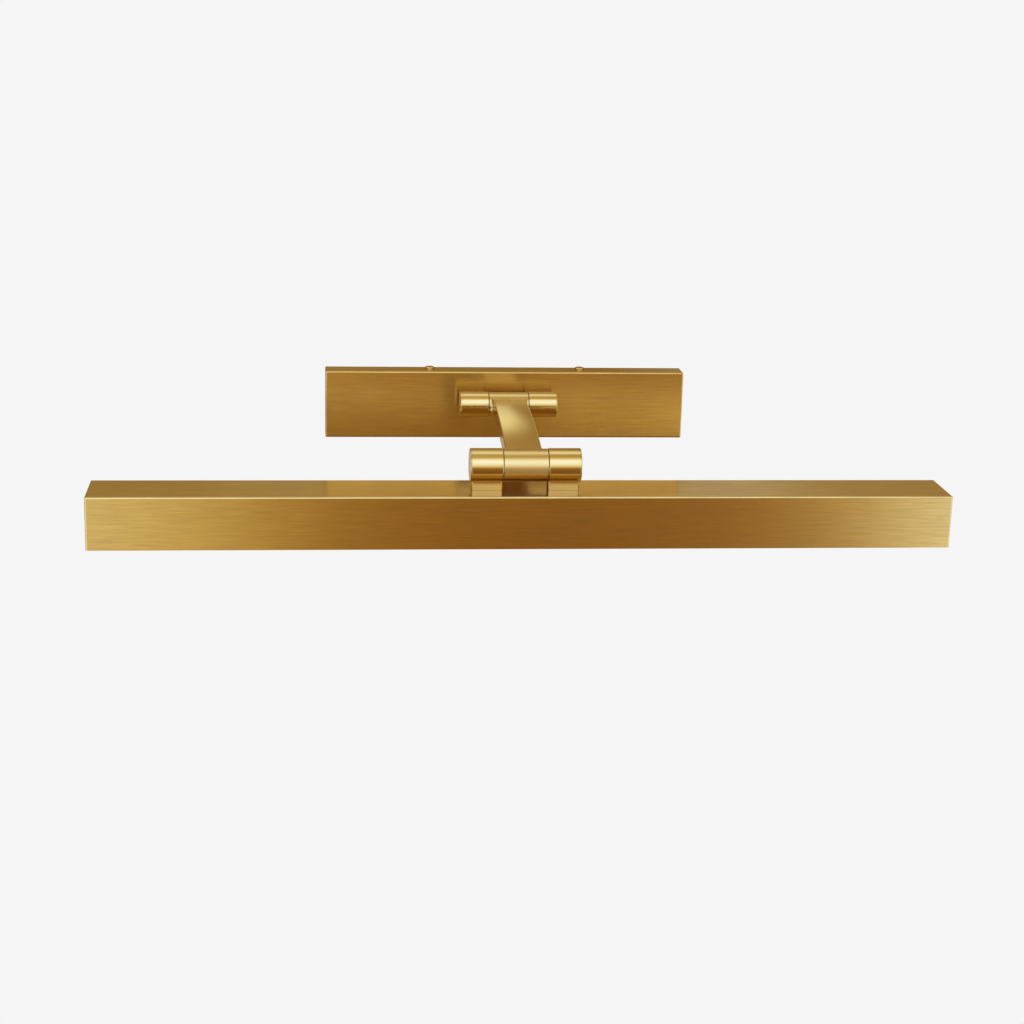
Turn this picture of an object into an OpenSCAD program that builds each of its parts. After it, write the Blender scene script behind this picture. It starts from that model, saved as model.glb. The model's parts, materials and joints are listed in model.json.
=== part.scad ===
// Wall-mounted picture light: a long box shade on a short bowed arm, with a
// friction hinge at each end of the arm and a slim rectangular wall plate.
// X runs along the shade, +Y points into the wall, +Z is up. The origin is on
// the wall, at the centre of the wall plate's back. Millimetres.

/* [Shade] */
// Length of the shade
shade_len = 610; // [420:10:900]
// Height of the shade
shade_h = 38; // [38:1:44]
// Depth of the shade, front to back
shade_d = 47; // [47:1:56]

/* [Wall plate] */
// Width of the wall plate
plate_w = 278; // [270:2:330]
// Height of the wall plate
plate_h = 52; // [50:1:58]
// Depth of the wall plate from the wall
plate_d = 18; // [17:1:22]

/* [Sheet brass] */
// Thickness of the sheet in the shade and the wall plate
sheet = 1.2; // [1:0.1:1.5]
// Rounding of the sheet's outside edges
edge_r = 1.1; // [0.6:0.1:1.1]

/* [Arm] */
// Width of the arm bar at the lower hinge
arm_w = 26.5; // [24:0.5:27]
// How much narrower the arm bar is at the upper hinge
arm_taper = 2; // [1:0.5:4]
// Thickness of the arm bar
arm_t = 11.5; // [10:0.5:12]
// Wall thickness of the hollow arm bar
arm_wall = 2; // [1.5:0.1:2.5]
// Horizontal distance between the two hinge axes
arm_reach = 130; // [110:5:200]
// How far the lower hinge axis hangs below the upper one
arm_drop = 15; // [5:1:30]
// Rise of the arm's bow above its chord
arm_bow = 4.3; // [3:0.1:8]

/* [Upper hinge] */
// Radius of the upper hinge barrel
upper_r = 9.5; // [9.5:0.1:11]
// Overall length of the upper hinge barrel
upper_len = 74; // [72:1:80]
// Distance from the upper hinge axis to the wall plate's face
upper_reach = 20; // [18:1:24]
// Height of the upper hinge axis above the wall plate's centre
upper_rise = 5; // [0:1:8]

/* [Lower hinge] */
// Radius of the lower hinge barrel
lower_r = 12; // [11:0.1:13]
// Overall length of the lower hinge barrel
lower_len = 78.5; // [76:0.5:84]
// Distance from the lower hinge axis to the shade's top
lower_reach = 17; // [16:1:20]

/* [Wall fixing] */
// Distance between the wall bracket's two slots
slot_spacing = 88.9; // [70:0.1:90]
// Width of each slot
slot_w = 4.8; // [4.2:0.1:5.2]
// End-to-end length of each slot
slot_len = 14; // [8:1:16]

/* [Hidden] */
$fn = 96;
eps = 0.01;

brass = [0.74, 0.55, 0.26];
zinc = [0.72, 0.73, 0.74];
dark_steel = [0.35, 0.35, 0.36];
aluminium = [0.80, 0.81, 0.83];
nylon = [0.90, 0.88, 0.82];
black_rubber = [0.08, 0.08, 0.08];
white_plastic = [0.92, 0.92, 0.90];
board_green = [0.10, 0.38, 0.22];
lead_grey = [0.82, 0.82, 0.80];

// Hinge axes in the Y-Z plane
upper_y = -plate_d - upper_reach;
upper_z = upper_rise;
lower_y = upper_y - arm_reach;
lower_z = upper_z - arm_drop;

// A hinge is [radius, half length of the arm's barrel, half length overall, reach to the seat,
// half depth of a foot]
upper = [upper_r, 15, upper_len / 2, upper_reach, 4];
lower = [lower_r, 15.75, lower_len / 2, lower_reach, 5];

washer_gap = 0.3;       // space between the arm's barrel and a knuckle
washer_t = 0.2;         // friction washer
barrel_step = 0.35;     // the arm's barrel is this much smaller in radius than the knuckles
cap_flange = 1;         // visible disc of an end cap
cap_plug = 2.5;         // part of an end cap inside the knuckle
edge_c = 0.5;           // rounded end edges of turned parts
rim_c = 0.45;           // rounded outer rim of an end cap
fine_c = 0.1;           // nearly sharp edges where two turned parts butt together
foot_c = 0.9;           // rounded upright edges of a foot
foot_relief = 0.4;      // recess around the base of a foot
bar_c = 0.6;            // bevelled long edges of the arm bar
bar_fillet = 2.3;       // hollow fillet between the arm bar and its upper barrel
bush_r = 5;             // outside of a pivot bush
bush_bore = 3.3;        // inside of a pivot bush, for the lead
bush_in_knuckle = 9;
bush_in_barrel = 8;
run_clearance = 0.05;   // radial, between parts that turn in each other
face_gap = 0.05;        // between faces that turn on each other
shoulder_r = 4;         // pivot screw's shoulder
shoulder_seat = 8;      // length of its bore in the knuckle
screw_head_r = 6;
screw_head_h = 3.2;
wave_t = 0.6;
pivot_thread_r = 3;
pivot_thread_len = 8;
foot_screw_r = 2;       // M4
foot_screw_bite = 8;
lead_r = 1.5;
lead_hole_r = 2.4;
wire_r = 0.9;

// Shade
shade_top = lower_z - lower_reach;
shade_bottom = shade_top - shade_h;
inner_half_d = shade_d / 2 - sheet;
end_plate_t = 1.5;
standoff_h = 13;
sink_web_w = 30;
sink_t = 1.8;
sink_top = shade_top - sheet - standoff_h;
sink_flange_z = shade_bottom + 2.6;
sink_len = shade_len - 10;
board_w = 12;
board_t = 1.6;
board_len = shade_len - 30;
chip_pitch = 16;
chip_size = [3.5, 2.8, 0.7];
diffuser_t = 1.8;
standoff_x = shade_len / 3;
standoff_y = 9.5;

// Wall plate
bracket_t = 2;
bracket_half_w = 75;
bracket_half_h = 17;
cover_screw_x = 58.5;
cover_screw_y = -5;
wire_hole_r = 11;
driver_size = [50, 40, 11.5];
driver_x = -plate_w / 2 + 32;
driver_back = -2.5;

// ---------- shared shapes ----------

// Rectangle with round corners, made of exact lines and arcs
module round_rect(a, b, r) {
    square([a - 2 * r, b], center = true);
    square([a, b - 2 * r], center = true);
    for (x = [-1, 1], y = [-1, 1])
        translate([x * (a / 2 - r), y * (b / 2 - r)]) circle(r, $fn = 48);
}

// Box with all its edges rounded, as the common part of three prisms
module round_box(size, r) {
    intersection() {
        linear_extrude(size[2], center = true) round_rect(size[0], size[1], r);
        rotate([90, 0, 0]) linear_extrude(size[1], center = true) round_rect(size[0], size[2], r);
        rotate([90, 0, 90]) linear_extrude(size[0], center = true) round_rect(size[1], size[2], r);
    }
}

// Cylinder along +X from x0 to x1
module rod(x0, x1, r, sides = 96) {
    translate([x0, 0, 0]) rotate([0, 90, 0]) cylinder(h = x1 - x0, r = r, $fn = sides);
}

// Turned cylinder along X, its end edges rounded to the radii c0 and c1
module turned_rod(x0, x1, r, c0 = edge_c, c1 = edge_c) {
    rotate([0, 90, 0]) rotate_extrude() {
        translate([0, x0 + c0]) square([r, x1 - x0 - c0 - c1]);
        translate([0, x0]) square([r - c0, c0 + eps]);
        translate([0, x1 - c1 - eps]) square([r - c1, c1 + eps]);
        translate([r - c0, x0 + c0]) circle(c0, $fn = 48);
        translate([r - c1, x1 - c1]) circle(c1, $fn = 48);
    }
}

// Low pan head along +Z with a straight slot, its underside at z = 0
module slotted_head(r, h, slot) {
    difference() {
        rotate_extrude()
            polygon([[0, 0], [r, 0], [r, h * 0.55], [r * 0.82, h * 0.9], [r * 0.6, h], [0, h]]);
        translate([-r - 1, -slot / 2, h * 0.5]) cube([2 * r + 2, slot, h]);
    }
}

// Screw with its head's underside at z = 0, its head above and its thread below
module pan_screw(head_r, head_h, thread_r, length, slot = 0.9) {
    slotted_head(head_r, head_h, slot);
    translate([0, 0, -length]) cylinder(h = length + eps, r = thread_r, $fn = 48);
}

// ---------- round leads ----------

function unit(v) = v / norm(v);
function tangent(p, i) = unit(p[min(i + 1, len(p) - 1)] - p[max(i - 1, 0)]);
function square_to(n, t) = unit(n - (n * t) * t);
function side_of(t) = abs(t[2]) < 0.9 ? cross(t, [0, 0, 1]) : cross(t, [1, 0, 0]);
function normals(p) = [
    for (i = 0, n = square_to(side_of(tangent(p, 0)), tangent(p, 0)); i < len(p);
         i = i + 1, n = i < len(p) ? square_to(n, tangent(p, i)) : n) n
];
// One point of the curve that passes through a, b, c and d, between b and c
function blend_point(a, b, c, d, t) =
    0.5 * (2 * b + (c - a) * t + (2 * a - 5 * b + 4 * c - d) * t * t + (3 * b - a - 3 * c + d) * t * t * t);
function smooth(p, steps = 4) = [
    for (i = [0 : len(p) - 2], s = [0 : steps - 1])
        blend_point(p[max(i - 1, 0)], p[i], p[i + 1], p[min(i + 2, len(p) - 1)], s / steps),
    p[len(p) - 1]
];

module tube(route, r, sides = 8) {
    p = smooth(route);
    n = normals(p);
    rings = [
        for (i = [0 : len(p) - 1], k = [0 : sides - 1])
            p[i] + r * (cos(k * 360 / sides) * n[i] + sin(k * 360 / sides) * cross(tangent(p, i), n[i]))
    ];
    last = (len(p) - 1) * sides;
    polyhedron(
        points = rings,
        faces = concat(
            [[for (k = [0 : sides - 1]) k]],
            [for (i = [0 : len(p) - 2], k = [0 : sides - 1])
                [i * sides + k, (i + 1) * sides + k,
                 (i + 1) * sides + (k + 1) % sides, i * sides + (k + 1) % sides]],
            [[for (k = [sides - 1 : -1 : 0]) last + k]]
        )
    );
}

// ---------- hinge pieces, with the axis along X and the foot pointing to -Z ----------

function knuckle_in(h) = h[1] + washer_gap;
function knuckle_out(h) = h[2] - cap_flange;
function lead_x(h) = (knuckle_in(h) + bush_in_knuckle + knuckle_out(h) - cap_plug) / 2;
function foot_screw_x(h) = knuckle_in(h) + 4.5;

module at_upper() {
    translate([0, upper_y, upper_z]) rotate([90, 0, 0]) children();
}

module at_lower() {
    translate([0, lower_y, lower_z]) children();
}

// Outside of a knuckle on the +X side, with its square foot
module knuckle_body(h) {
    turned_rod(knuckle_in(h), knuckle_out(h), h[0], edge_c, fine_c);
    width = knuckle_out(h) - knuckle_in(h) - 2 * fine_c;
    translate([(knuckle_in(h) + knuckle_out(h)) / 2, 0, -h[3]]) {
        linear_extrude(foot_relief + eps)
            round_rect(width - 2 * foot_relief, 2 * (h[4] - foot_relief), foot_c - foot_relief);
        translate([0, 0, foot_relief]) linear_extrude(h[3] - foot_relief)
            round_rect(width, 2 * h[4], foot_c);
    }
}

module foot_screw_hole(h) {
    translate([foot_screw_x(h), 0, -h[3] - eps])
        cylinder(h = foot_screw_bite + 1, r = foot_screw_r, $fn = 48);
}

// Knuckle that carries the pivot bush and lets the lead through its foot
module lead_knuckle(h) {
    difference() {
        knuckle_body(h);
        rod(knuckle_in(h) - 1, knuckle_out(h) + 1, bush_r);
        rod(knuckle_in(h) + bush_in_knuckle, knuckle_out(h) + 1, h[0] - 2.5);
        translate([lead_x(h), 0, -h[3] - 1]) cylinder(h = h[3] + 1, r = lead_hole_r, $fn = 48);
        foot_screw_hole(h);
    }
}

// Knuckle that holds the pivot screw's shoulder and its head
module screw_knuckle(h) {
    mirror([1, 0, 0]) difference() {
        knuckle_body(h);
        rod(knuckle_in(h) - 1, knuckle_out(h) + 1, shoulder_r + run_clearance);
        rod(knuckle_in(h) + shoulder_seat, knuckle_out(h) + 1, h[0] - 2.5);
        foot_screw_hole(h);
    }
}

// Disc that closes a knuckle's outer end on the +X side
module end_cap(h) {
    turned_rod(knuckle_out(h), h[2], h[0], fine_c, rim_c);
    difference() {
        rod(knuckle_out(h) - cap_plug, knuckle_out(h) + eps, h[0] - 2.5);
        rod(knuckle_out(h) - cap_plug - 1, knuckle_out(h) - 0.3, h[0] - 4);
    }
}

module pivot_bush(h) {
    difference() {
        rod(h[1] - bush_in_barrel, knuckle_in(h) + bush_in_knuckle, bush_r);
        rod(h[1] - bush_in_barrel - 1, knuckle_in(h) + bush_in_knuckle + 1, bush_bore);
    }
}

module friction_washers(h) {
    for (side = [-1, 1])
        translate([side * (h[1] + washer_gap / 2), 0, 0]) difference() {
            rod(-washer_t / 2, washer_t / 2, h[0] - 2.5);
            rod(-1, 1, side > 0 ? bush_r + 0.2 : shoulder_r + 0.2);
        }
}

module wave_washer(h) {
    x = knuckle_in(h) + shoulder_seat + face_gap;
    mirror([1, 0, 0]) difference() {
        rod(x, x + wave_t, h[0] - 3);
        rod(x - 1, x + wave_t + 1, shoulder_r + 0.3);
    }
}

// Shoulder screw on the -X side; its hexagon socket is under the end cap
module pivot_screw(h) {
    head = knuckle_in(h) + shoulder_seat + wave_t + 2 * face_gap;
    mirror([1, 0, 0]) difference() {
        union() {
            turned_rod(head, head + screw_head_h, screw_head_r, fine_c, edge_c);
            rod(h[1], head + eps, shoulder_r);
            rod(h[1] - pivot_thread_len, h[1] + eps, pivot_thread_r);
        }
        rod(head + 1.2, head + screw_head_h + 1, 2.3, 6);
    }
}

module foot_screws(h, skin) {
    for (side = [-1, 1])
        translate([side * foot_screw_x(h), 0, -h[3] - skin]) rotate([180, 0, 0])
            pan_screw(3.5, 2.2, foot_screw_r, skin + foot_screw_bite);
}

// The arm's barrel, with its lead cavity and its tapped hole for the pivot screw
module arm_barrel(h) {
    difference() {
        turned_rod(-h[1], h[1], h[0] - barrel_step, 2 * fine_c, 2 * fine_c);
        rod(-h[1] + pivot_thread_len + 1, h[1] + 1, bush_r + run_clearance);
        rod(-h[1] - 1, h[1], pivot_thread_r);
    }
}

// ---------- arm ----------

chord = norm([arm_reach, arm_drop]);
bow_r = (chord * chord / 4 + arm_bow * arm_bow) / (2 * arm_bow);
chord_up = [-arm_drop, arm_reach] / chord;
bow_centre = [(upper_y + lower_y) / 2, (upper_z + lower_z) / 2] - chord_up * (bow_r - arm_bow);
bow_half_angle = asin(chord / 2 / bow_r);
bow_tilt = atan2(chord_up[1], chord_up[0]);
// Point on the arm's centre line, from 0 at the upper axis to 1 at the lower one
function arm_point(f, x = 0) = let (a = bow_tilt + (2 * f - 1) * bow_half_angle)
    [x, bow_centre[0] + bow_r * cos(a), bow_centre[1] + bow_r * sin(a)];

// The bow between the two axes, as a band of a given thickness and width
module bow(t, w) {
    intersection() {
        translate([0, bow_centre[0], bow_centre[1]]) rotate([0, 90, 0]) rotate_extrude($fn = 256)
            translate([bow_r - t / 2, -w / 2]) square([t, w]);
        translate([-w / 2 - 1, lower_y, lower_z - 20]) cube([w + 2, arm_reach, arm_drop + 50]);
    }
}

// Everything inside the arm bar's +X side, which is tapered and has its long edges bevelled
module bar_side() {
    half_t = arm_t / 2;
    past = 2;
    translate([arm_w / 2, lower_y, 0]) rotate([0, 0, atan(arm_taper / 2 / arm_reach)])
        translate([0, bow_centre[0] - lower_y, bow_centre[1]]) rotate([0, 90, 0]) rotate_extrude($fn = 256)
            polygon([
                [bow_r - half_t + bar_c, 0], [bow_r + half_t - bar_c, 0],
                [bow_r + half_t + past, -bar_c - past], [bow_r + half_t + past, -2 * arm_w],
                [bow_r - half_t - past, -2 * arm_w], [bow_r - half_t - past, -bar_c - past]
            ]);
}

// The upper end spreads to the barrel's width with a hollow fillet on each side
module bar_fillets() {
    seat = upper[0] - barrel_step;
    half = arm_w / 2 - arm_taper / 2;
    intersection() {
        bow(arm_t, 2 * (half + bar_fillet));
        translate([0, upper_y, upper_z]) difference() {
            rod(-half - bar_fillet, half + bar_fillet, seat + bar_fillet);
            for (side = [-1, 1])
                rotate([0, 90, 0]) rotate_extrude()
                    translate([seat + bar_fillet, side * (half + bar_fillet)]) circle(bar_fillet, $fn = 48);
        }
    }
}

module arm_bar() {
    color(brass) difference() {
        union() {
            intersection() {
                bow(arm_t, arm_w + 1);
                bar_side();
                mirror([1, 0, 0]) bar_side();
            }
            bar_fillets();
        }
        bow(arm_t - 2 * arm_wall, arm_w - arm_taper - 2 * arm_wall);
        translate([0, upper_y, upper_z]) rod(-40, 40, upper[0] - barrel_step);
        translate([0, lower_y, lower_z]) rod(-40, 40, lower[0] - barrel_step);
    }
}

// Window from a barrel's cavity into the hollow arm, from y0 to y1
module lead_window(y0, y1, z) {
    translate([-5, y0, z - 2.5]) cube([10, y1 - y0, 5]);
}

module arm_upper_barrel() {
    color(brass) difference() {
        at_upper() arm_barrel(upper);
        lead_window(upper_y - upper_r - 1, upper_y, upper_z);
    }
}

module arm_lower_barrel() {
    color(brass) difference() {
        at_lower() arm_barrel(lower);
        lead_window(lower_y, lower_y + lower_r + 1, lower_z + 2);
    }
}

module arm_lead() {
    end_upper = upper[1] + 0.2;
    end_lower = lower[1] + 0.2;
    color(lead_grey) tube(concat(
        [[end_upper, upper_y, upper_z], [9, upper_y, upper_z], [4, upper_y - 1.5, upper_z]],
        [for (f = [0.08 : 0.105 : 0.92]) arm_point(f)],
        [[4, lower_y + 1.5, lower_z + 0.5], [9, lower_y, lower_z], [end_lower, lower_y, lower_z]]
    ), lead_r);
}

// ---------- wall plate ----------

module backplate_cover() {
    color(brass) difference() {
        translate([0, 0, 0]) round_box([plate_w, 2 * plate_d, plate_h], edge_r);
        translate([-plate_w, 0, -plate_h]) cube([2 * plate_w, 2 * plate_d, 2 * plate_h]);
        translate([-plate_w / 2 + sheet, -plate_d + sheet, -plate_h / 2 + sheet])
            cube([plate_w - 2 * sheet, plate_d + 1, plate_h - 2 * sheet]);
        for (x = [-1, 1], z = [-1, 1])
            translate([x * cover_screw_x, cover_screw_y, z * plate_h / 2])
                cylinder(h = 6, r = 2.1, center = true, $fn = 48);
        at_upper() {
            for (side = [-1, 1])
                translate([side * foot_screw_x(upper), 0, -upper_reach - 3])
                    cylinder(h = 4, r = foot_screw_r + 0.2, $fn = 48);
            translate([lead_x(upper), 0, -upper_reach - 3]) cylinder(h = 4, r = 3.4, $fn = 48);
        }
    }
}

// Slot along X, cut through the bracket's web
module bracket_slot(x) {
    half = (slot_len - slot_w) / 2;
    translate([x, 0, 0]) {
        translate([-half, -bracket_t - 1, -slot_w / 2]) cube([2 * half, bracket_t + 2, slot_w]);
        for (end = [-1, 1])
            translate([end * half, 1, 0]) rotate([90, 0, 0])
                cylinder(h = bracket_t + 2, r = slot_w / 2, $fn = 48);
    }
}

// Pressed steel strap that is screwed to the wall box, with four bent tabs for the cover
module wall_bracket() {
    tab_z = plate_h / 2 - sheet - 0.2;
    tab_w = 16;
    tab_t = 1.6;
    color(zinc) difference() {
        union() {
            translate([-bracket_half_w, -bracket_t, -bracket_half_h])
                cube([2 * bracket_half_w, bracket_t, 2 * bracket_half_h]);
            for (x = [-1, 1]) {
                translate([x * cover_screw_x - tab_w / 2, -bracket_t, -tab_z])
                    cube([tab_w, bracket_t, 2 * tab_z]);
                for (z = [-1, 1])
                    translate([x * cover_screw_x - tab_w / 2, -14, z > 0 ? tab_z - tab_t : -tab_z])
                        cube([tab_w, 14, tab_t]);
            }
        }
        for (x = [-1, 1]) {
            bracket_slot(x * slot_spacing / 2);
            translate([x * cover_screw_x, cover_screw_y, 0])
                cylinder(h = 3 * tab_z, r = 1.75, center = true, $fn = 48);
        }
        translate([0, 1, 0]) rotate([90, 0, 0]) cylinder(h = bracket_t + 2, r = wire_hole_r);
        translate([22, 1, -11]) rotate([90, 0, 0]) cylinder(h = bracket_t + 2, r = 1.75, $fn = 48);
    }
}

module cover_screws() {
    color(brass) for (x = [-1, 1], up = [0, 1])
        translate([x * cover_screw_x, cover_screw_y, 0]) mirror([0, 0, up])
            translate([0, 0, plate_h / 2]) pan_screw(3.7, 1.5, 1.75, 5, 1);
}

module ground_screw() {
    color([0.16, 0.5, 0.25]) translate([22, -bracket_t, -11]) rotate([90, 0, 0])
        pan_screw(3.4, 2, 1.75, bracket_t);
}

// Two-way push-in connector, fixed inside the cover
module terminal_block() {
    size = [22, 10, 18];
    color(white_plastic) translate([96, -plate_d + sheet, -size[2] / 2]) difference() {
        cube(size);
        for (z = [4.5, 13.5]) {
            translate([-1, size[1] / 2, z]) rod(0, 9, 2, 48);
            translate([size[0] - 8, size[1] / 2, z]) rod(0, 9, 2, 48);
        }
    }
}

module driver_case() {
    wall = 1.4;
    color(white_plastic) translate([driver_x, driver_back - driver_size[2] / 2, 0]) difference() {
        cube([driver_size[0], driver_size[2], driver_size[1]], center = true);
        translate([0, wall, 0]) cube(
            [driver_size[0] - 2 * wall, driver_size[2], driver_size[1] - 2 * wall], center = true);
        translate([0, 1, 9]) rod(0, driver_size[0], 1.7, 48);
        translate([0, 1, -9]) rod(0, driver_size[0], 2.2, 48);
    }
}

module driver_lid() {
    color(white_plastic) translate([driver_x, driver_back - 0.6, 0])
        cube([driver_size[0] - 2.9, 1.2, driver_size[1] - 2.9], center = true);
}

// Circuit board of the LED driver, with its transformer, capacitor and chokes
module driver_board() {
    color(board_green) translate([driver_x - 23, driver_back - driver_size[2] + 2.4, -18]) {
        cube([42, 1.4, 36]);
        translate([14, 1.3, 10]) cube([15, 6, 16]);
        translate([34, 4.5, 9]) cylinder(h = 18, r = 3.4, $fn = 48);
        translate([2, 1.3, 10]) cube([7, 4.5, 6]);
        translate([2, 1.3, 20]) cube([7, 4.5, 8]);
    }
}

// Two supply leads from the wall opening to the connector, and two on to the driver
module supply_leads() {
    color([0.15, 0.15, 0.16]) {
        for (z = [-4.5, 4.5])
            tube([
                [4, -4, z / 2], [7, -7, z / 2], [18, -9.5, z], [50, -11, z], [80, -11.8, z], [103, -11.8, z]
            ], wire_r);
        tube([
            [112, -11.8, -4.5], [120, -11, -6], [126, -7, -10], [124, -5.5, -16], [112, -6, -19],
            [60, -6.5, -19.6], [0, -6.5, -19.6], [-60, -6.5, -19.6], [-76, -7, -16],
            [-80, -7.25, -10.8], [-88, -7.25, -10]
        ], wire_r);
        tube([
            [112, -11.8, 4.5], [122, -12.5, 4], [132.5, -12.5, -3], [133.5, -12, -13], [125, -11.5, -17.5],
            [60, -10.5, -18.4], [0, -10.5, -18.4], [-60, -10.5, -18.4], [-74, -9.5, -13], [-80, -7.25, -8.2],
            [-88, -7.25, -8]
        ], wire_r);
    }
}

// Lead from the driver, through the right foot, to the upper hinge's turning face
module plate_lead() {
    x = lead_x(upper);
    color(lead_grey) tube([
        [-88, -7.25, 9], [-84, -7.25, 9], [-80.5, -7.25, 9.1], [-70, -8, 15.5], [-40, -9, 18.5],
        [0, -9, 18.5], [18, -9, 16], [x - 4, -8.5, 10.5], [x - 0.9, -11.5, 7],
        [x, -15, upper_z], [x, -18, upper_z], [x, upper_y + 8, upper_z],
        [x - 0.6, upper_y + 3, upper_z], [x - 3, upper_y + 0.6, upper_z], [x - 7, upper_y, upper_z],
        [upper[1] + 0.3, upper_y, upper_z]
    ], lead_r);
}

// Rubber ring in a sheet, around the lead at the origin, with the sheet from z = 0 to z = sheet
module grommet(hole_r) {
    difference() {
        union() {
            translate([0, 0, 0.02]) cylinder(h = sheet - 0.02, r = hole_r, $fn = 48);
            translate([0, 0, sheet]) cylinder(h = 1, r = hole_r + 1.2, $fn = 48);
        }
        translate([0, 0, -1]) cylinder(h = sheet + 4, r = lead_r + 0.2, $fn = 48);
    }
}

module plate_grommet() {
    color(black_rubber) translate([lead_x(upper), -plate_d, upper_z]) rotate([-90, 0, 0]) grommet(3.4);
}

// ---------- shade ----------

// Folded brass channel, open below
module shade_channel() {
    color(brass) difference() {
        translate([0, lower_y, shade_top - shade_h]) round_box([shade_len, shade_d, 2 * shade_h], edge_r);
        translate([-shade_len, lower_y - shade_d, shade_bottom - 2 * shade_h])
            cube([2 * shade_len, 2 * shade_d, 2 * shade_h]);
        translate([-shade_len, lower_y - inner_half_d, shade_bottom - 1])
            cube([2 * shade_len, 2 * inner_half_d, shade_h - sheet + 1]);
        at_lower() {
            for (side = [-1, 1])
                translate([side * foot_screw_x(lower), 0, -lower_reach - 3])
                    cylinder(h = 4, r = foot_screw_r + 0.2, $fn = 48);
            translate([lead_x(lower), 0, -lower_reach - 3]) cylinder(h = 4, r = 3.4, $fn = 48);
        }
    }
}

// End plate soldered inside the channel, flush with its end
module end_plate(side) {
    x = side * (shade_len / 2 - end_plate_t / 2);
    color(brass) translate([x, lower_y, (shade_bottom + shade_top - sheet) / 2])
        cube([end_plate_t, 2 * inner_half_d, shade_h - sheet], center = true);
}

module left_end_plate() {
    end_plate(-1);
}

module right_end_plate() {
    end_plate(1);
}

// Where the four standoffs stand, under the shade's top
module at_standoffs() {
    for (x = [-1, 1], y = [-1, 1])
        translate([x * standoff_x, lower_y + y * standoff_y, sink_top]) children();
}

module standoffs() {
    color(zinc) at_standoffs() difference() {
        cylinder(h = standoff_h, r = 3.4, $fn = 6);
        translate([0, 0, -1]) cylinder(h = 9, r = 1.5, $fn = 48);
    }
}

// Aluminium extrusion: a deep channel with a flange along each side
module heat_sink() {
    leg_h = sink_top - sink_flange_z;
    color(aluminium) difference() {
        translate([-sink_len / 2, lower_y, 0]) rotate([90, 0, 90]) linear_extrude(sink_len) {
            translate([-sink_web_w / 2, sink_top - sink_t]) square([sink_web_w, sink_t]);
            for (side = [0, 1]) mirror([side, 0]) {
                translate([sink_web_w / 2 - sink_t, sink_flange_z]) square([sink_t, leg_h]);
                translate([sink_web_w / 2 - sink_t, sink_flange_z])
                    square([inner_half_d - 0.2 - sink_web_w / 2 + sink_t, sink_t]);
            }
        }
        at_standoffs() translate([0, 0, -sink_t - 1]) cylinder(h = sink_t + 2, r = 1.6, $fn = 48);
        translate([48, lower_y + 9.5, sink_top - sink_t - 1]) cylinder(h = sink_t + 2, r = 2.6, $fn = 48);
    }
}

module heat_sink_screws() {
    color(zinc) at_standoffs() translate([0, 0, -sink_t]) rotate([180, 0, 0])
        pan_screw(2.7, 1.8, 1.5, sink_t + 7);
}

module led_board() {
    color(white_plastic) translate([0, lower_y, sink_top - sink_t - board_t / 2])
        cube([board_len, board_w, board_t], center = true);
}

module led_chips() {
    count = floor((board_len - 20) / chip_pitch) + 1;
    z = sink_top - sink_t - board_t - chip_size[2] / 2;
    color([0.95, 0.82, 0.35]) for (i = [0 : count - 1])
        translate([(i - (count - 1) / 2) * chip_pitch, lower_y, z]) cube(chip_size, center = true);
}

// Frosted cover that snaps into the heat sink and closes the shade's opening
module diffuser() {
    half = inner_half_d - 0.15;
    leg = sink_web_w / 2 - sink_t - 0.1;
    leg_t = 1.4;
    top = sink_flange_z - 0.02;
    tip = top + 7;
    bottom = top - diffuser_t;
    length = shade_len - 2 * end_plate_t - 0.6;
    color([0.96, 0.96, 0.94]) translate([-length / 2, lower_y, 0]) rotate([90, 0, 90])
        linear_extrude(length)
        polygon([
            [-half, bottom], [half, bottom], [half, top], [leg, top], [leg, tip], [leg - leg_t, tip],
            [leg - leg_t, top], [leg_t - leg, top], [leg_t - leg, tip], [-leg, tip], [-leg, top], [-half, top]
        ]);
}

// Lead from the lower hinge's turning face, through the right foot and the heat sink, to the LED board
module shade_lead() {
    x = lead_x(lower);
    board_z = sink_top - sink_t - board_t;
    color(lead_grey) tube([
        [lower[1] + 0.3, lower_y, lower_z], [x - 7, lower_y, lower_z], [x - 3, lower_y, lower_z - 0.6],
        [x - 0.6, lower_y, lower_z - 3], [x, lower_y, lower_z - 8], [x, lower_y, shade_top - 3],
        [x + 3, lower_y + 2, shade_top - 8], [x + 10, lower_y + 7, shade_top - 9.5],
        [47.5, lower_y + 9.3, sink_top + 2], [48, lower_y + 9.5, sink_top - 1],
        [48, lower_y + 8.8, board_z - 1.3],
        [48, lower_y + 6.5, board_z - lead_r], [48, lower_y + 2.5, board_z - lead_r]
    ], lead_r);
}

module shade_grommet() {
    color(black_rubber) translate([lead_x(lower), lower_y, shade_top]) rotate([180, 0, 0]) grommet(3.4);
}

// ---------- output ----------

backplate_cover();
wall_bracket();
cover_screws();
ground_screw();
terminal_block();
driver_case();
driver_lid();
driver_board();
supply_leads();
plate_lead();
plate_grommet();
color(brass) at_upper() screw_knuckle(upper);  // upper_left_knuckle
color(brass) at_upper() lead_knuckle(upper);  // upper_right_knuckle
color(brass) at_upper() mirror([1, 0, 0]) end_cap(upper);  // upper_left_cap
color(brass) at_upper() end_cap(upper);  // upper_right_cap
color(zinc) at_upper() foot_screws(upper, sheet);  // upper_foot_screws
color(dark_steel) at_upper() pivot_bush(upper);  // upper_pivot_bush
color(zinc) at_upper() wave_washer(upper);  // upper_wave_washer
color(dark_steel) at_upper() pivot_screw(upper);  // upper_pivot_screw
color(nylon) at_upper() friction_washers(upper);  // upper_friction_washers
arm_upper_barrel();
arm_bar();
arm_lower_barrel();
arm_lead();
color(nylon) at_lower() friction_washers(lower);  // lower_friction_washers
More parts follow.
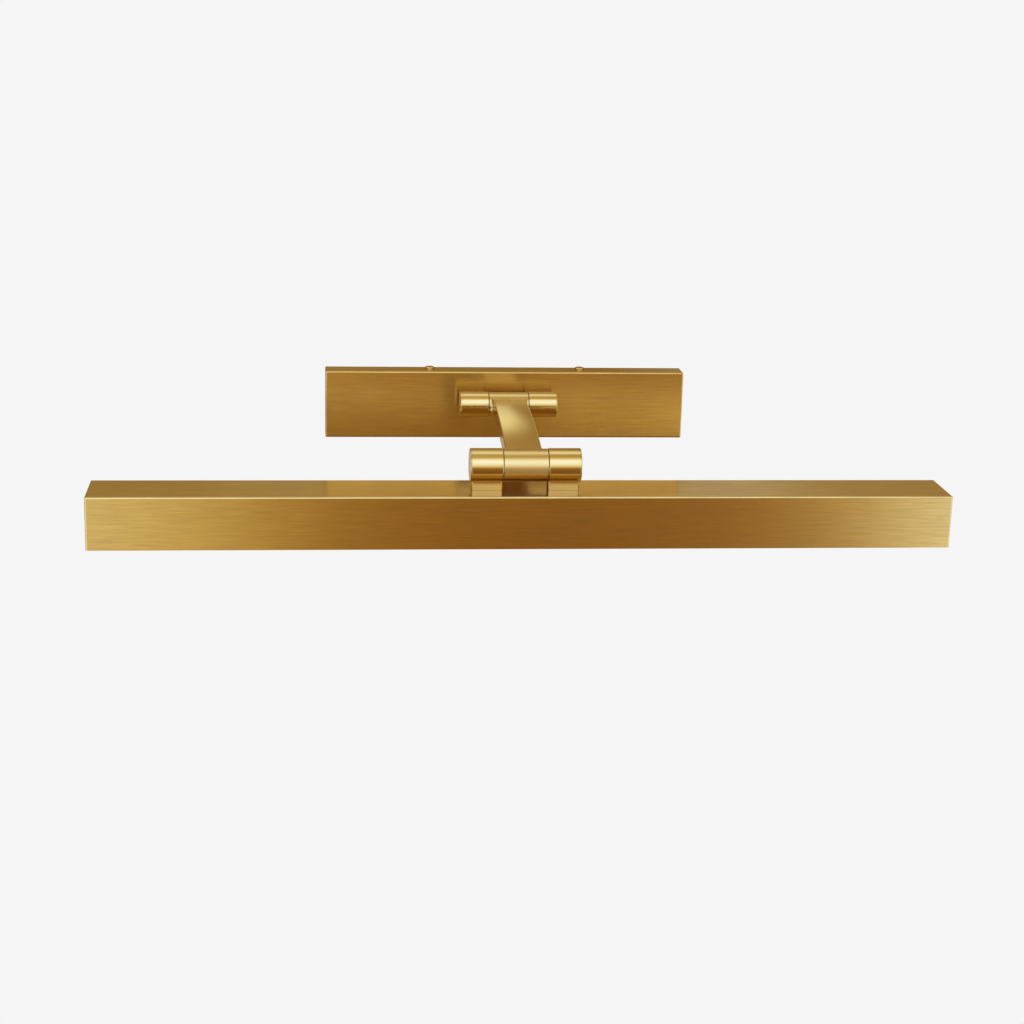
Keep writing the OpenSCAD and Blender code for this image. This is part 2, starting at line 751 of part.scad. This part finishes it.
color(dark_steel) at_lower() pivot_screw(lower);  // lower_pivot_screw
color(zinc) at_lower() wave_washer(lower);  // lower_wave_washer
color(dark_steel) at_lower() pivot_bush(lower);  // lower_pivot_bush
color(brass) at_lower() screw_knuckle(lower);  // lower_left_knuckle
color(brass) at_lower() lead_knuckle(lower);  // lower_right_knuckle
color(brass) at_lower() mirror([1, 0, 0]) end_cap(lower);  // lower_left_cap
color(brass) at_lower() end_cap(lower);  // lower_right_cap
color(zinc) at_lower() foot_screws(lower, sheet);  // lower_foot_screws
shade_channel();
left_end_plate();
right_end_plate();
standoffs();
heat_sink();
heat_sink_screws();
led_board();
led_chips();
diffuser();
shade_lead();
shade_grommet();
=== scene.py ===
import json
import math

import bpy
from mathutils import Matrix, Vector

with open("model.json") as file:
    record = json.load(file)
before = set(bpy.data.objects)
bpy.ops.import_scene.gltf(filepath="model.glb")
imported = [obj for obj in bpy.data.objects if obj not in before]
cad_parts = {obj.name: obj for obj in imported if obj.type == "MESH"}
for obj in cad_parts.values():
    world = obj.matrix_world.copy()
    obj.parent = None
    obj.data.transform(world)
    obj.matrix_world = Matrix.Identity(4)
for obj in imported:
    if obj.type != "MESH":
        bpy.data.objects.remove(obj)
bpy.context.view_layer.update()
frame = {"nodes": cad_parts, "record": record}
scene = bpy.context.scene
nodes = frame["nodes"]

UNIT = (0.0, 1.0)
NOISE_SPAN = (0.3, 0.7)  # where most of a noise texture's values lie


# ---------- node helpers ----------

class Graph:
    """Builds one shader node tree. A value is a number or another node's output."""

    def __init__(self, tree):
        self.tree = tree
        self.nodes = tree.nodes
        self.nodes.clear()

    def add(self, kind, **props):
        node = self.nodes.new(kind)
        for key, value in props.items():
            setattr(node, key, value)
        return node

    def link(self, source, socket):
        self.tree.links.new(source, socket)

    def feed(self, socket, value):
        if isinstance(value, bpy.types.NodeSocket):
            self.link(value, socket)
        else:
            socket.default_value = value

    def coordinates(self, kind):
        return self.add("ShaderNodeTexCoord").outputs[kind]

    def split(self, vector):
        node = self.add("ShaderNodeSeparateXYZ")
        self.link(vector, node.inputs[0])
        return node.outputs

    def join(self, x, y, z):
        node = self.add("ShaderNodeCombineXYZ")
        for socket, value in zip(node.inputs, (x, y, z)):
            self.feed(socket, value)
        return node.outputs[0]

    def math(self, operation, a, b=None):
        node = self.add("ShaderNodeMath", operation=operation)
        self.feed(node.inputs[0], a)
        if b is not None:
            self.feed(node.inputs[1], b)
        return node.outputs[0]

    def plus(self, a, b):
        return self.math("ADD", a, b)

    def minus(self, a, b):
        return self.math("SUBTRACT", a, b)

    def times(self, a, b):
        return self.math("MULTIPLY", a, b)

    def remap(self, value, source, target):
        """Linear change of a value from the source range to the target range, clamped."""
        node = self.add("ShaderNodeMapRange")
        self.feed(node.inputs[0], value)
        for socket, limit in zip(node.inputs[1:5], (*source, *target)):
            socket.default_value = limit
        return node.outputs[0]

    def curve(self, value, *stops):
        """Smooth curve through stops, (input, output) pairs in rising order of input."""
        low, high = stops[0][0], stops[-1][0]
        node = self.add("ShaderNodeFloatCurve")
        self.link(self.remap(value, (low, high), UNIT), node.inputs[1])
        first, *middle, last = [((x - low) / (high - low), y) for x, y in stops]
        points = node.mapping.curves[0].points
        points[0].location = first
        points[1].location = last
        for stop in middle:
            points.new(*stop)
        node.mapping.update()
        return node.outputs[0]

    def noise(self, vector, scale, detail=2.0, rough=0.5):
        node = self.add("ShaderNodeTexNoise")
        self.link(vector, node.inputs["Vector"])
        node.inputs["Scale"].default_value = scale
        node.inputs["Detail"].default_value = detail
        node.inputs["Roughness"].default_value = rough
        return node.outputs[0]

    def stretched_noise(self, vector, scales, detail=2.0, rough=0.5):
        """Noise with its own scale along each axis."""
        node = self.add("ShaderNodeMapping")
        self.link(vector, node.inputs[0])
        node.inputs["Scale"].default_value = scales
        return self.noise(node.outputs[0], 1.0, detail, rough)

    def weigh(self, a, share, b):
        """share of a and the rest of b."""
        return self.plus(self.times(a, share), self.times(b, 1.0 - share))

    def mix(self, factor, a, b):
        """Colour between a and b."""
        node = self.add("ShaderNodeMix", data_type="RGBA")
        self.feed(node.inputs[0], factor)
        node.inputs[6].default_value = (*a, 1.0)
        node.inputs[7].default_value = (*b, 1.0)
        return node.outputs[2]


def principled(name, **constants):
    """A material, its tree, its Principled shader with constant sockets set, and object coordinates."""
    mat = bpy.data.materials.new(name)
    mat.use_nodes = True
    g = Graph(mat.node_tree)
    out = g.add("ShaderNodeOutputMaterial")
    bsdf = g.add("ShaderNodeBsdfPrincipled")
    g.link(bsdf.outputs[0], out.inputs[0])
    for key, value in constants.items():
        bsdf.inputs[key.replace("_", " ")].default_value = value
    return mat, g, bsdf, g.coordinates("Object")


def bump(g, bsdf, height, strength, distance):
    node = g.add("ShaderNodeBump")
    node.inputs["Strength"].default_value = strength
    node.inputs["Distance"].default_value = distance
    g.link(height, node.inputs["Height"])
    g.link(node.outputs[0], bsdf.inputs["Normal"])


# ---------- brass ----------

BRASS = (0.55, 0.362, 0.12)  # the mean tone, which the studio light is worked out for
BRASS_LIGHT = (0.66, 0.448, 0.158)
BRASS_DEEP = (0.44, 0.276, 0.084)
BRUSH_AXIS = (1.0, 0.02, 0.03)  # a little off X, so that it has a direction on faces that look along X
BROAD_GRAIN = 0.16  # scale of the broad brush marks against the fine ones


def brushed_ends(g, place):
    """Object coordinates, turned on faces that look along X so that their brush lines stay straight."""
    facing_x = g.math("GREATER_THAN", g.math("ABSOLUTE", g.split(g.coordinates("Normal"))[0]), 0.7)
    x, y, z = g.split(place)
    pick = g.add("ShaderNodeMix", data_type="VECTOR")
    g.link(facing_x, pick.inputs[0])
    g.link(place, pick.inputs[4])
    g.link(g.join(z, x, y), pick.inputs[5])
    return pick.outputs[1]


def brass(name, grain, turn, rough, aniso, streak, tint=(1.0, 1.0, 1.0)):
    """Lacquered brushed brass. grain is the noise scale on each axis, lowest along the brush lines;
    aniso stretches the gloss, in the direction turn (in whole turns from the brush axis); streak is how
    strongly the lines show; tint multiplies the metal's colour. On the wall plate the tint is painted
    shade: a darker, more orange copy of the brass that stands in for light the plate reflects less."""
    mat, g, bsdf, place = principled(
        name, Metallic=1.0, Anisotropic=aniso, Anisotropic_Rotation=turn,
        Coat_Weight=0.06, Coat_Roughness=0.2, Coat_IOR=1.4)
    g.link(g.join(*BRUSH_AXIS), bsdf.inputs["Tangent"])
    if grain[0] < min(grain[1:]):
        place = brushed_ends(g, place)
    fine = g.stretched_noise(place, grain, detail=3.0, rough=0.65)
    broad = g.stretched_noise(place, [scale * BROAD_GRAIN for scale in grain])
    cloud = g.noise(place, scale=22.0, detail=3.0, rough=0.6)
    lines = g.weigh(fine, 0.88, broad)
    tone = g.weigh(lines, 0.75, cloud)

    spread = 0.03 + 0.42 * streak ** 2
    deep = [a * b for a, b in zip(BRASS_DEEP, tint)]
    light = [a * b for a, b in zip(BRASS_LIGHT, tint)]
    share = g.remap(tone, NOISE_SPAN, (0.5 - spread, 0.5 + spread))
    g.link(g.mix(share, deep, light), bsdf.inputs["Base Color"])
    gloss = 0.02 * streak
    g.link(g.remap(tone, NOISE_SPAN, (rough + gloss, rough - gloss)), bsdf.inputs["Roughness"])
    bump(g, bsdf, lines, strength=0.02 * streak, distance=0.0003)
    return mat


SHEET = (36, 1050, 1050)  # brush lines along the shade and the wall plate
ROUND = (2400, 40, 40)    # turning lines around the hinges
ALONG = (1500, 30, 900)   # brush lines along the arm
SHEET_BRASS = brass("brass_brushed_along", SHEET, turn=0.25, rough=0.165, aniso=0.6, streak=1.0)
# The wall plate's brass is the sheet brass made darker and more orange by its tint: painted shade for light
# that the plate's front reflects less.
PLATE_BRASS_PAINTED_SHADE = brass(
    "brass_plate_painted_shade", SHEET, turn=0.25, rough=0.20, aniso=0.75, streak=1.0, tint=(0.85, 0.745, 0.51))
ARM_BRASS = brass("brass_arm", ALONG, turn=0.0, rough=0.20, aniso=0.3, streak=0.3)
TURNED_BRASS = brass("brass_turned", ROUND, turn=0.0, rough=0.16, aniso=0.3, streak=0.1)
BARREL_BRASS = brass("brass_turned_middle", ROUND, turn=0.0, rough=0.27, aniso=0.3, streak=0.1)


# ---------- other materials ----------

WARM = (1.0, 0.77, 0.45, 1.0)  # takes the studio light's cool cast out of white gloss
EVEN = (900, 900, 900)


def metal(name, light, deep, rough, grain=EVEN):
    """Plain metal with a clouded tone and a fine grain."""
    mat, g, bsdf, place = principled(name, Metallic=1.0, Coat_Roughness=0.25)
    fine = g.stretched_noise(place, grain)
    cloud = g.noise(place, scale=60.0, detail=3.0, rough=0.6)
    tone = g.weigh(fine, 0.4, cloud)
    g.link(g.mix(g.remap(tone, NOISE_SPAN, UNIT), deep, light), bsdf.inputs["Base Color"])
    g.link(g.remap(tone, NOISE_SPAN, (rough - 0.08, rough + 0.08)), bsdf.inputs["Roughness"])
    bump(g, bsdf, fine, strength=0.12, distance=0.0002)
    return mat


def plastic(name, light, deep, rough, grain=1800.0, texture=0.08, **constants):
    """Moulded plastic, rubber or lacquer with a clouded tone and a fine surface texture."""
    mat, g, bsdf, place = principled(
        name, Coat_Roughness=0.15, Coat_Tint=WARM, Specular_Tint=WARM, **constants)
    cloud = g.noise(place, scale=40.0, detail=3.0, rough=0.6)
    g.link(g.mix(g.remap(cloud, NOISE_SPAN, UNIT), deep, light), bsdf.inputs["Base Color"])
    g.link(g.remap(cloud, NOISE_SPAN, (rough - 0.05, rough + 0.05)), bsdf.inputs["Roughness"])
    bump(g, bsdf, g.noise(place, grain), strength=texture, distance=0.0002)
    return mat


SLOT_MATERIALS = {
    "brushed_brass": SHEET_BRASS,
    "zinc_steel": metal("zinc_plate", (0.70, 0.72, 0.75), (0.56, 0.58, 0.62), 0.36, grain=(300, 300, 300)),
    "dark_steel": metal("oiled_steel", (0.34, 0.34, 0.35), (0.20, 0.20, 0.21), 0.34, grain=(1800, 60, 60)),
    "aluminium": metal(
        "extruded_aluminium", (0.78, 0.79, 0.81), (0.66, 0.67, 0.70), 0.38, grain=(12, 1600, 1600)),
    "green_screw": metal("green_dyed_zinc", (0.08, 0.42, 0.17), (0.04, 0.28, 0.10), 0.36),
    "nylon": plastic("amber_nylon", (0.50, 0.35, 0.15), (0.42, 0.28, 0.11), 0.45),
    "black_rubber": plastic("black_rubber", (0.030, 0.030, 0.032), (0.016, 0.016, 0.017), 0.62),
    "white_plastic": plastic("white_plastic", (0.84, 0.84, 0.82), (0.76, 0.76, 0.73), 0.42),
    "lead_black": plastic("black_lead", (0.028, 0.028, 0.030), (0.018, 0.018, 0.019), 0.4),
    "lead_grey": plastic("grey_lead", (0.62, 0.62, 0.60), (0.54, 0.54, 0.52), 0.42),
    "white_solder_mask": plastic(
        "white_solder_mask", (0.86, 0.86, 0.84), (0.78, 0.78, 0.76), 0.32, Coat_Weight=0.4),
    "board_green": plastic(
        "green_board", (0.035, 0.20, 0.085), (0.018, 0.12, 0.05), 0.34, grain=900, Coat_Weight=0.5),
    "led_phosphor": plastic(
        "led_phosphor", (0.92, 0.72, 0.16), (0.85, 0.60, 0.10), 0.38, Coat_Weight=0.4),
    "frosted_acrylic": plastic(
        "frosted_acrylic", (0.87, 0.84, 0.755), (0.83, 0.80, 0.715), 0.5, grain=2600, texture=0.06,
        Specular_IOR_Level=0.25, Subsurface_Weight=0.15, Subsurface_Scale=0.003),
}
NODE_MATERIALS = {
    "backplate_cover": PLATE_BRASS_PAINTED_SHADE,
    "arm_bar": ARM_BRASS,
    "arm_upper_barrel": BARREL_BRASS,
    "arm_lower_barrel": BARREL_BRASS,
    "cover_screws": TURNED_BRASS,
}
for side in ("left", "right"):
    for hinge in ("upper", "lower"):
        NODE_MATERIALS[f"{hinge}_{side}_knuckle"] = TURNED_BRASS
        NODE_MATERIALS[f"{hinge}_{side}_cap"] = TURNED_BRASS

for part in frame["record"]["subparts"]:
    name = part["node"]
    slots = nodes[name].data.materials
    slots.clear()
    slots.append(NODE_MATERIALS.get(name) or SLOT_MATERIALS[part["material_slot"]])


# ---------- floor and reflector ----------

PALE = (0.913, 0.913, 0.913, 1.0)


def rectangle(name, corners):
    """One flat face with an empty material of its own: the object and the material's tree."""
    mesh = bpy.data.meshes.new(name)
    mesh.from_pydata(corners, [], [(0, 1, 2, 3)])
    obj = bpy.data.objects.new(name, mesh)
    scene.collection.objects.link(obj)
    mat = bpy.data.materials.new(name)
    mat.use_nodes = True
    mesh.materials.append(mat)
    return obj, Graph(mat.node_tree)


def make_floor():
    """Plain pale floor far below the lamp, the same tone as the backdrop."""
    size, z = 30.0, -2.0
    floor, g = rectangle("floor", [(-size, -size, z), (size, -size, z), (size, size, z), (-size, size, z)])
    glow = g.add("ShaderNodeEmission")
    glow.inputs[0].default_value = PALE
    g.link(glow.outputs[0], g.add("ShaderNodeOutputMaterial").inputs[0])
    floor.visible_glossy = False
    floor.visible_diffuse = False
    floor.visible_shadow = False
    floor.visible_transmission = False


def make_card():
    """Soft cream reflector at the wall above the plate's centre, which shines only on the arm's bar.
    Its glow fades towards every edge, on a slant at the lower right."""
    left, right, top = -0.03, 0.04, 0.10
    card, g = rectangle("reflector_card", [(left, 0, 0), (right, 0, 0), (right, 0, top), (left, 0, top)])
    x, _, z = g.split(g.coordinates("Object"))
    slant = g.minus(z, g.times(x, 1.6))
    glow = g.remap(slant, (0.018, 0.036), (0.0, 1.0))
    glow = g.times(glow, g.remap(z, (0.070, 0.095), (1.0, 0.0)))
    glow = g.times(glow, g.remap(x, (0.006, 0.028), (1.0, 0.0)))
    glow = g.times(glow, g.remap(x, (left, -0.020), (0.0, 1.0)))
    glow = g.times(glow, g.remap(z, (0.030, 0.055), (0.6, 1.15)))
    light = g.add("ShaderNodeEmission")
    light.inputs[0].default_value = (0.80, 0.98, 0.78, 1.0)
    g.link(glow, light.inputs[1])
    both = g.add("ShaderNodeAddShader")
    g.link(g.add("ShaderNodeBsdfTransparent").outputs[0], both.inputs[0])
    g.link(light.outputs[0], both.inputs[1])
    g.link(both.outputs[0], g.add("ShaderNodeOutputMaterial").inputs[0])
    card.visible_camera = False
    card.visible_diffuse = False
    card.visible_shadow = False
    lit = bpy.data.collections.new("lit_by_card")
    lit.objects.link(nodes["arm_bar"])
    card.light_linking.receiver_collection = lit


# ---------- studio light ----------
# A direction is its height above the horizon and its turn to the right of the front or the back, in
# degrees. A light level is what brass of the colour BRASS then shows. The lights' places and levels
# were chosen against the photograph.

def front_light(g, height, turn):
    """A wide light high in front, dimmer past the sides, and soft panels low at both sides."""
    high = g.curve(
        height, (-90, 0.30), (-55, 0.16), (-15, 0.20), (-5, 0.40), (5, 0.66), (20, 0.87), (38, 0.95),
        (72, 0.50), (90, 0.56))
    width = g.curve(turn, (-90, 0.65), (-40, 0.68), (-22, 1.0), (24, 1.0), (42, 0.68), (90, 0.65))
    panels = g.curve(
        turn, (-90, 0.95), (-25, 0.92), (-3, 0.53), (4, 0.24), (11, 0.23), (17, 0.55), (24, 0.95), (90, 0.95))
    panel_heights = g.curve(
        height, (-90, 0.0), (-60, 0.0), (-30, 1.0), (-13, 1.0), (0, 0.5), (20, 0.0), (90, 0.0))
    between_panels = 0.235
    return g.plus(g.times(high, width), g.times(g.minus(panels, between_panels), panel_heights))


def back_light(g, height, turn):
    """A strip above the back, a faint row of lamps low over the horizon and a glow from below it."""
    strip = g.curve(
        height, (-90, 0.28), (-10, 0.21), (15, 0.23), (40, 0.38), (60, 0.64), (73, 0.80), (90, 0.56))
    row = g.curve(
        turn, (-60, 0.05), (-5, 0.06), (0, 0.15), (4, 0.06), (8, 0.06), (12, 0.30), (16, 0.15), (60, 0.06))
    row_heights = g.curve(height, (-90, 0.0), (12, 0.0), (14.5, 1.0), (17, 1.0), (21, 0.0), (90, 0.0))
    below = g.curve(turn, (-60, 0.0), (-7, 0.0), (0, 0.5), (5, 0.1), (11, 1.0), (20, 0.6), (60, 0.3))
    below_heights = g.curve(height, (-90, 0.0), (-35, 0.0), (-20, 1.0), (-8, 1.0), (2, 0.0), (90, 0.0))
    lamps = g.plus(strip, g.times(row, row_heights))
    return g.plus(lamps, g.times(below, below_heights))


def make_world():
    """Plain pale backdrop for the camera and soft light, and the studio for what the metal reflects."""
    world = bpy.data.worlds.new("studio")
    scene.world = world
    world.use_nodes = True
    g = Graph(world.node_tree)
    x, y, z = g.split(g.coordinates("Generated"))
    degrees = 180 / math.pi
    height = g.times(g.math("ARCSINE", z), degrees)
    front_turn = g.times(g.math("ARCTAN2", x, g.times(y, -1.0)), degrees)
    back_turn = g.times(g.math("ARCTAN2", x, y), degrees)
    facing = g.remap(y, (-0.2, 0.2), (1.0, 0.0))
    level = g.plus(g.times(front_light(g, height, front_turn), facing),
                   g.times(back_light(g, height, back_turn), g.minus(1.0, facing)))

    # Brass goes from brown to cream as its light rises, so green and blue rise faster than red
    green = g.math("POWER", level, g.remap(facing, UNIT, (1.5, 1.65)))
    blue = g.math("POWER", level, g.remap(facing, UNIT, (2.75, 3.4)))
    colour = g.add("ShaderNodeCombineColor")
    g.link(g.math("DIVIDE", level, BRASS[0]), colour.inputs[0])
    g.link(g.times(green, 0.91 / BRASS[1]), colour.inputs[1])
    g.link(g.times(blue, 0.57 / BRASS[2]), colour.inputs[2])

    studio = g.add("ShaderNodeBackground")
    g.link(colour.outputs[0], studio.inputs[0])
    plain = g.add("ShaderNodeBackground")
    plain.inputs[0].default_value = PALE
    ray = g.add("ShaderNodeLightPath").outputs
    pick = g.add("ShaderNodeMixShader")
    g.link(g.math("MAXIMUM", ray["Is Camera Ray"], ray["Is Diffuse Ray"]), pick.inputs[0])
    g.link(studio.outputs[0], pick.inputs[1])
    g.link(plain.outputs[0], pick.inputs[2])
    g.link(pick.outputs[0], g.add("ShaderNodeOutputWorld").inputs[0])


# ---------- camera ----------

def make_camera():
    """Front view from a little left of centre, looking 15.5 degrees down."""
    distance = 1.5176
    pitch = math.radians(15.508)
    turn = math.radians(6.01)
    roll = math.radians(1.498)
    aim = Vector((-0.0013, -0.100, -0.0634))
    ahead = Vector((math.sin(turn) * math.cos(pitch), math.cos(turn) * math.cos(pitch), -math.sin(pitch)))
    level = Vector((math.cos(turn), -math.sin(turn), 0.0))
    up = level.cross(ahead)
    right = level * math.cos(roll) + up * math.sin(roll)
    top = up * math.cos(roll) - level * math.sin(roll)
    data = bpy.data.cameras.new("camera")
    data.sensor_width = 36.0
    data.lens = 71.5816
    data.clip_start = 0.05
    data.clip_end = 60.0
    camera = bpy.data.objects.new("camera", data)
    scene.collection.objects.link(camera)
    axes = Matrix((right, top, -ahead)).transposed().to_4x4()
    camera.matrix_world = Matrix.Translation(aim - ahead * distance) @ axes
    scene.camera = camera


make_floor()
make_card()
make_world()
make_camera()
scene.view_settings.view_transform = "Standard"
scene.view_settings.look = "None"
